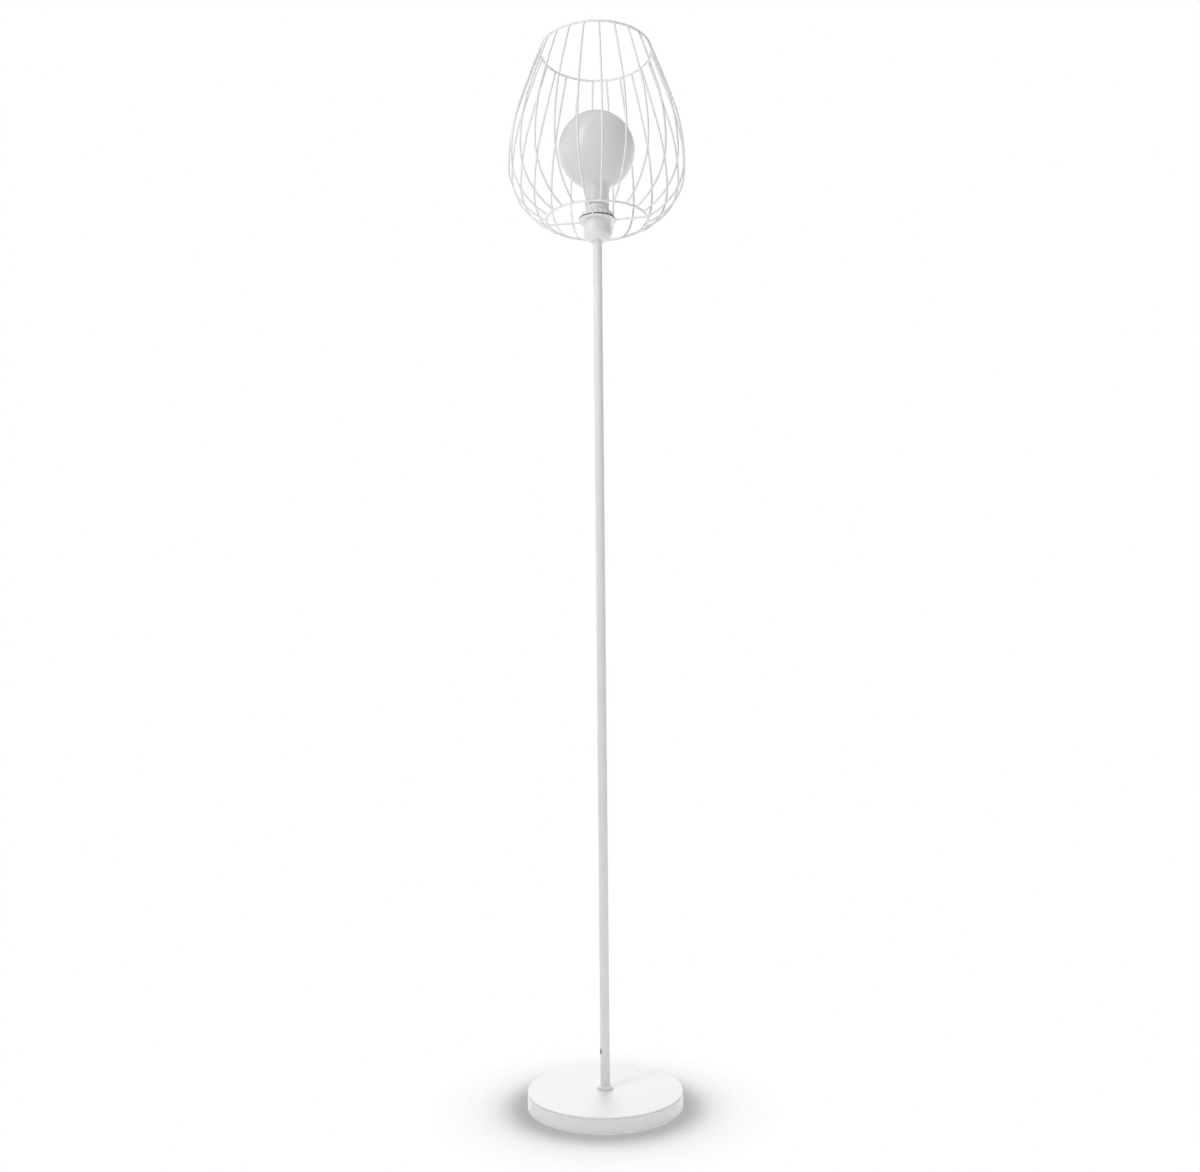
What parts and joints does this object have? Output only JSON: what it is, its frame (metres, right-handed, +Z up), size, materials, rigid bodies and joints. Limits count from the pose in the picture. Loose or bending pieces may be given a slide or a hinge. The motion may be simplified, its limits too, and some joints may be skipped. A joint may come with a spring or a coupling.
{
  "type": "floor lamp",
  "caption": "Floor lamp with a round weighted base, a thin pole and an open cage of curved wires round an opal globe bulb in a screw-thread lampholder.",
  "frame": {"origin": "centre of the base's underside, on the floor", "axes": "+Z up along the pole; the cage's four spokes lie along X and Y; the cord's outlet hole faces -X, turned 15 degrees towards -Y"},
  "size_m": [0.279, 0.279, 1.6172],
  "materials": {
    "white_paint": "satin powder coat on steel",
    "cast_iron": "rough casting under a thin black coat",
    "foam_pad": "closed-cell foam",
    "zinc_steel": "bright zinc plate",
    "brass": "bare stamped brass",
    "white_plastic": "satin moulding",
    "block_plastic": "moulded, matt",
    "black_rubber": "matt",
    "black_glass": "black glass insulator, gloss",
    "nickel_shell": "bright nickel plate on brass",
    "opal_glass": "white inside, gloss outside",
    "clear_glass": "clear",
    "filament_coat": "yellow phosphor coat"
  },
  "bodies": {
    "stand": {"base_pad": "foam_pad", "base_weight": "cast_iron", "base_cover": "white_paint", "base_washer": "zinc_steel", "base_lock_washer": "zinc_steel", "base_bolt": "zinc_steel", "pole_tube": "white_paint", "pole_collar": "white_plastic", "pole_foot_bush": "zinc_steel", "pole_top_bush": "zinc_steel", "cord_grommet": "black_rubber", "holder_nipple": "zinc_steel", "holder_cap": "white_plastic", "holder_grub_screw": "zinc_steel", "terminal_block": "block_plastic", "terminal_clamps": "brass", "terminal_screws": "zinc_steel", "centre_contact": "brass", "side_contact": "brass", "holder_skirt": "white_plastic"},
    "gasket": {"ring_gasket": "black_rubber"},
    "ring": {"shade_ring": "white_plastic"},
    "cage": {"cage_hub": "white_paint", "cage_spokes": "white_paint", "cage_lower_ring": "white_paint", "cage_wires": "white_paint", "cage_upper_ring": "white_paint"},
    "bulb_tip": {"bulb_contact": "zinc_steel"},
    "bulb": {"bulb_insulator": "black_glass", "bulb_cap": "nickel_shell", "bulb_globe": "opal_glass", "bulb_stem": "clear_glass", "filament_leads": "zinc_steel", "bulb_filaments": "filament_coat"}
  },
  "joints": [
    {"name": "ring_rise", "type": "slide", "parent": "stand", "child": "gasket", "axis": [0, 0, 1], "range_m": [0, 0.0125]},
    {"name": "ring_turn", "type": "hinge", "parent": "gasket", "child": "ring", "pos_m": [0, 0, 1.346], "axis": [0, 0, 1], "range_deg": [0, 1800]},
    {"name": "cage_swivel", "type": "hinge", "parent": "stand", "child": "cage", "pos_m": [0, 0, 1.33945], "axis": [0, 0, 1], "continuous": true},
    {"name": "bulb_rise", "type": "slide", "parent": "stand", "child": "bulb_tip", "axis": [0, 0, 1], "range_m": [0, 0.01634]},
    {"name": "bulb_turn", "type": "hinge", "parent": "bulb_tip", "child": "bulb", "pos_m": [0, 0, 1.35], "axis": [0, 0, 1], "range_deg": [0, 1620]}
  ],
  "couplings": [
    {"joint": "ring_rise", "follows": "ring_turn", "m_per_rad": 0.00039789},
    {"joint": "bulb_rise", "follows": "bulb_turn", "m_per_rad": 0.00057757}
  ]
}
